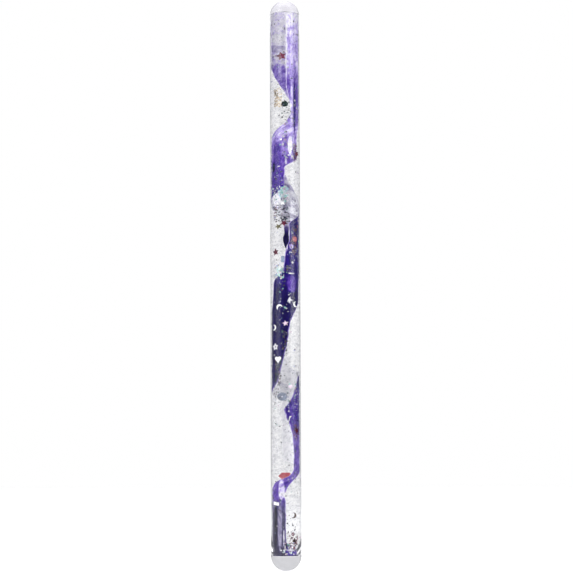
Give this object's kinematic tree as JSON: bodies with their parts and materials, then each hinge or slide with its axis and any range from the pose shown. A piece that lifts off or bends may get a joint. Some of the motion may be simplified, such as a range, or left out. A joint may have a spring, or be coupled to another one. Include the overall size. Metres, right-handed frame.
{
  "type": "spiral glitter wand",
  "caption": "Sealed clear round wand with domed ends, filled with liquid, a spiral metallic foil ribbon and loose star and sequin glitter that drifts along it.",
  "frame": {"origin": "centre of the tube, half way between the two dome tips", "axes": "+Z along the wand towards the end with the filling hole; -Y towards the viewer, +X to the viewer's right"},
  "size_m": [0.016, 0.016, 0.305],
  "materials": {
    "clear_acrylic": "gloss",
    "cap_acrylic": "gloss",
    "plug_acrylic": "satin",
    "clear_liquid": "gloss",
    "ribbon_foil": "polished",
    "dark_glitter": "gloss",
    "pale_glitter": "gloss",
    "burgundy_foil": "polished",
    "brown_foil": "polished",
    "gold_foil": "polished",
    "white_foil": "polished",
    "silver_foil": "polished",
    "pink_foil": "polished",
    "sequin_foil": "polished",
    "red_foil": "polished",
    "dark_green_foil": "polished",
    "holographic_foil": "polished",
    "blue_foil": "polished"
  },
  "bodies": {
    "wand": {"clear_tube": "clear_acrylic", "bottom_cap": "cap_acrylic", "top_cap": "cap_acrylic", "fill_hole_plug": "plug_acrylic", "filling_liquid": "clear_liquid"},
    "ribbon": {"spiral_foil_ribbon": "ribbon_foil", "ribbon_dark_dots": "dark_glitter", "ribbon_pale_dots": "pale_glitter", "silver_half_star": "silver_foil", "silver_ring_star": "silver_foil", "pink_stars": "pink_foil", "rear_stars": "silver_foil", "silver_heart": "white_foil", "red_sequin": "red_foil", "silver_crescents": "white_foil", "white_strip": "white_foil"},
    "burgundy_star_upper": {"burgundy_star_upper": "burgundy_foil"},
    "burgundy_star_middle": {"burgundy_star_middle": "burgundy_foil"},
    "white_star": {"white_star": "white_foil"},
    "round_sequin": {"round_sequin": "sequin_foil"},
    "green_hexagon": {"green_hexagon": "dark_green_foil"},
    "holographic_squares": {"holographic_squares": "holographic_foil"},
    "blue_strip": {"blue_strip": "blue_foil"},
    "gold_star": {"gold_star": "gold_foil"},
    "red_hexagon": {"red_hexagon": "red_foil"},
    "brown_star": {"brown_star": "brown_foil"},
    "brown_crescent": {"brown_crescent": "brown_foil"},
    "burgundy_star_edge": {"burgundy_star_edge": "burgundy_foil"},
    "burgundy_star_tilted": {"burgundy_star_tilted": "burgundy_foil"},
    "burgundy_star_lower": {"burgundy_star_lower": "burgundy_foil"}
  },
  "joints": [
    {"name": "ribbon_turn", "type": "hinge", "parent": "wand", "child": "ribbon", "pos_m": [0, 0, 0], "axis": [0, 0, 1], "continuous": true},
    {"name": "burgundy_star_upper_drift", "type": "slide", "parent": "wand", "child": "burgundy_star_upper", "axis": [0, 0, 1], "range_m": [-0.262, 0.02]},
    {"name": "burgundy_star_middle_drift", "type": "slide", "parent": "wand", "child": "burgundy_star_middle", "axis": [0, 0, 1], "range_m": [-0.171, 0.112]},
    {"name": "white_star_drift", "type": "slide", "parent": "wand", "child": "white_star", "axis": [0, 0, 1], "range_m": [-0.182, 0.101]},
    {"name": "round_sequin_drift", "type": "slide", "parent": "wand", "child": "round_sequin", "axis": [0, 0, 1], "range_m": [-0.079, 0.203]},
    {"name": "green_hexagon_drift", "type": "slide", "parent": "wand", "child": "green_hexagon", "axis": [0, 0, 1], "range_m": [-0.236, 0.047]},
    {"name": "holographic_squares_drift", "type": "slide", "parent": "wand", "child": "holographic_squares", "axis": [0, 0, 1], "range_m": [-0.147, 0.095]},
    {"name": "blue_strip_drift", "type": "slide", "parent": "wand", "child": "blue_strip", "axis": [0, 0, 1], "range_m": [-0.152, 0.131]},
    {"name": "gold_star_drift", "type": "slide", "parent": "wand", "child": "gold_star", "axis": [0, 0, 1], "range_m": [-0.17, 0.114]},
    {"name": "red_hexagon_drift", "type": "slide", "parent": "wand", "child": "red_hexagon", "axis": [0, 0, 1], "range_m": [-0.038, 0.245]},
    {"name": "brown_star_drift", "type": "slide", "parent": "wand", "child": "brown_star", "axis": [0, 0, 1], "range_m": [-0.005, 0.278]},
    {"name": "brown_crescent_drift", "type": "slide", "parent": "wand", "child": "brown_crescent", "axis": [0, 0, 1], "range_m": [-0.018, 0.265]},
    {"name": "burgundy_star_edge_drift", "type": "slide", "parent": "ribbon", "child": "burgundy_star_edge", "axis": [0, 0, 1], "range_m": [-0.042, 0.074]},
    {"name": "burgundy_star_tilted_drift", "type": "slide", "parent": "ribbon", "child": "burgundy_star_tilted", "axis": [0, 0, 1], "range_m": [-0.025, 0.127]},
    {"name": "burgundy_star_lower_drift", "type": "slide", "parent": "ribbon", "child": "burgundy_star_lower", "axis": [0, 0, 1], "range_m": [-0.062, 0.062]}
  ]
}
